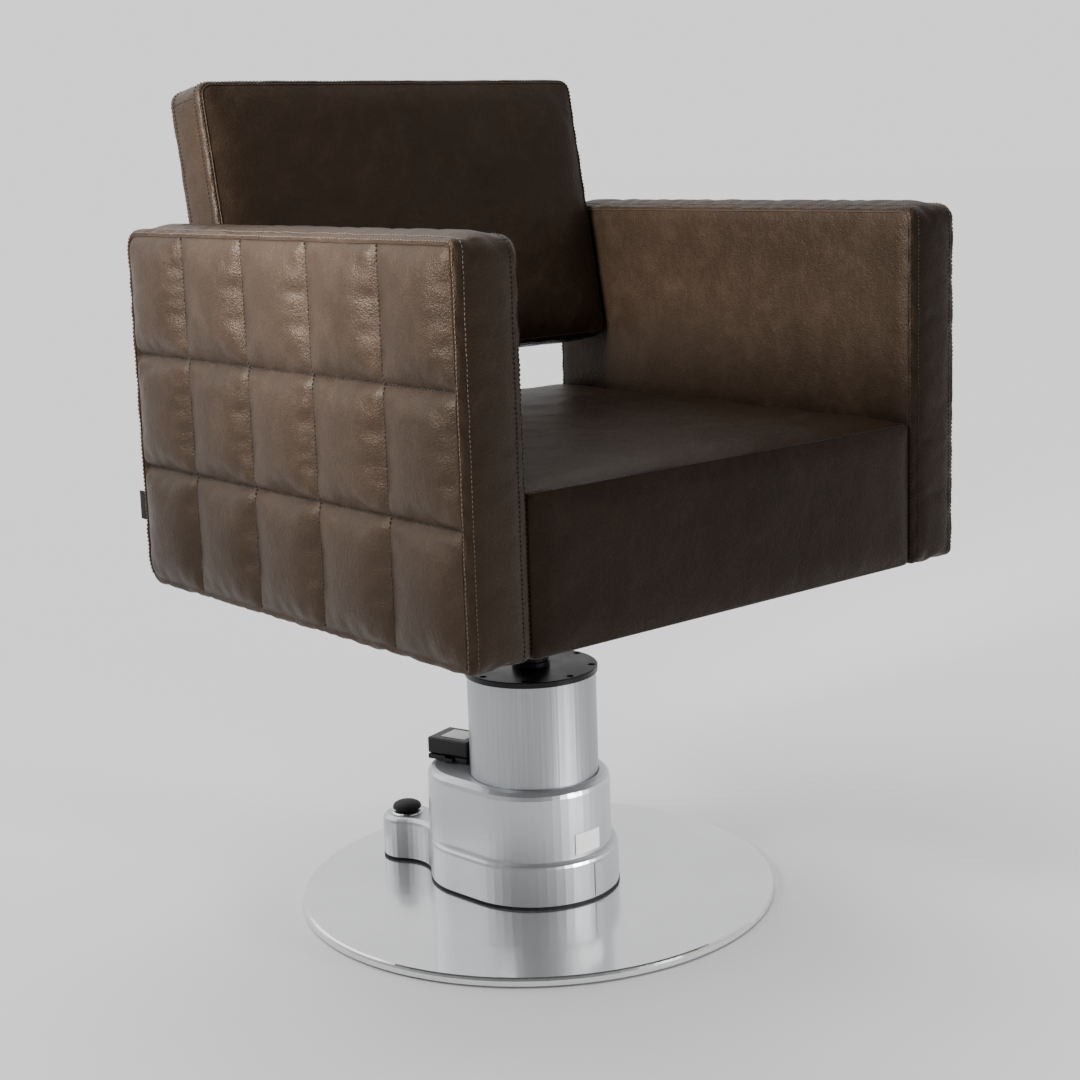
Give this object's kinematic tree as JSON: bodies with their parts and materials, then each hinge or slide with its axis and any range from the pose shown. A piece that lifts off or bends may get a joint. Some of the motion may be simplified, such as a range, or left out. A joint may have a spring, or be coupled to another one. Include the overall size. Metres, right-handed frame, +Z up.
{
  "type": "salon styling chair",
  "caption": "Upholstered salon chair with quilted box arms and a raked back, turning on a powered lifting column over a round metal base plate.",
  "frame": {"origin": "on the column's axis at the floor, in the middle of the underside of the base plate's rubber pad", "axes": "+Z up along the lift and swivel axis; the sitter faces -Y; +X is on the right when the chair is seen from its front"},
  "size_m": [0.65, 0.5718, 0.8803],
  "materials": {
    "brown_leather": "satin",
    "timber": "matte",
    "black_board": "matte",
    "black_steel": "satin",
    "dark_chrome": "polished",
    "zinc_steel": "satin",
    "polished_stainless": "polished",
    "brushed_aluminium": "satin",
    "silver_paint": "satin",
    "cast_iron": "matte",
    "bronze": "satin",
    "black_rubber": "matte",
    "black_plastic": "satin",
    "circuit_board": "matte",
    "blank_label": "satin"
  },
  "bodies": {
    "base": {"floor_pad": "black_rubber", "base_plate": "cast_iron", "plate_cover": "polished_stainless", "column_foot": "cast_iron", "foot_bolt_1": "zinc_steel", "foot_bolt_2": "zinc_steel", "foot_bolt_3": "zinc_steel", "cylinder_tube": "zinc_steel", "gland_bush": "bronze", "pump_block": "brushed_aluminium", "drive_motor": "black_steel", "pressure_pipe": "zinc_steel", "control_board": "circuit_board", "casing_seal": "black_rubber", "base_casing": "silver_paint", "rating_label": "blank_label", "button_bezel": "polished_stainless", "switch_block": "black_plastic", "button_spring": "zinc_steel", "battery_dock": "black_plastic"},
    "column_lift": {"column_sleeve": "brushed_aluminium", "top_flange": "black_steel", "flange_screw_1": "black_steel", "flange_screw_2": "black_steel", "flange_screw_3": "black_steel", "flange_screw_4": "black_steel", "flange_screw_5": "black_steel", "flange_screw_6": "black_steel", "flange_screw_7": "black_steel", "flange_screw_8": "black_steel", "ram": "zinc_steel", "piston_head": "bronze", "swivel_bearing": "black_steel"},
    "seat_swivel": {"spindle": "dark_chrome", "hub_collar": "black_steel", "seat_plate": "black_steel", "plate_bolt_1": "zinc_steel", "plate_bolt_2": "zinc_steel", "plate_bolt_3": "zinc_steel", "plate_bolt_4": "zinc_steel", "underside_panel": "black_board", "seat_frame": "timber", "seat_cushion": "brown_leather", "left_arm_core": "timber", "left_arm_pad": "brown_leather", "right_arm_core": "timber", "right_arm_pad": "brown_leather", "seat_rod_front": "zinc_steel", "seat_rod_rear": "zinc_steel", "back_rod_lower": "zinc_steel", "back_rod_upper": "zinc_steel", "back_board": "timber", "back_cushion": "brown_leather"},
    "pump_drive": {"pump_drive_gear": "zinc_steel"},
    "pump_idler": {"pump_idler_gear": "zinc_steel"},
    "foot_button": {"foot_button": "black_rubber"},
    "battery": {"battery_pack": "black_plastic"},
    "battery_latch": {"battery_latch": "black_plastic"}
  },
  "joints": [
    {"name": "lift", "type": "slide", "parent": "base", "child": "column_lift", "axis": [0, 0, 1], "range_m": [0, 0.105]},
    {"name": "swivel", "type": "hinge", "parent": "column_lift", "child": "seat_swivel", "pos_m": [0, 0, 0.26], "axis": [0, 0, 1], "continuous": true},
    {"name": "pump_drive_spin", "type": "hinge", "parent": "base", "child": "pump_drive", "pos_m": [-0.0288, 0.0942, 0.033], "axis": [0, 0, 1], "continuous": true},
    {"name": "pump_idler_spin", "type": "hinge", "parent": "base", "child": "pump_idler", "pos_m": [-0.01847, 0.09735, 0.033], "axis": [0, 0, 1], "continuous": true},
    {"name": "foot_press", "type": "slide", "parent": "base", "child": "foot_button", "axis": [0, 0, -1], "range_m": [0, 0.003], "stiffness_N_per_m": 2500, "springref_m": -0.002, "deforming": ["button_spring"]},
    {"name": "battery_slide", "type": "slide", "parent": "base", "child": "battery", "axis": [-0.2924, 0.9563, 0], "range_m": [0, 0.055]},
    {"name": "latch_press", "type": "slide", "parent": "base", "child": "battery_latch", "axis": [0.9563, 0.2924, 0], "range_m": [0, 0.0025], "stiffness_N_per_m": 800, "springref_m": -0.001}
  ],
  "couplings": [
    {"joint": "pump_idler_spin", "follows": "pump_drive_spin", "ratio": -1}
  ]
}
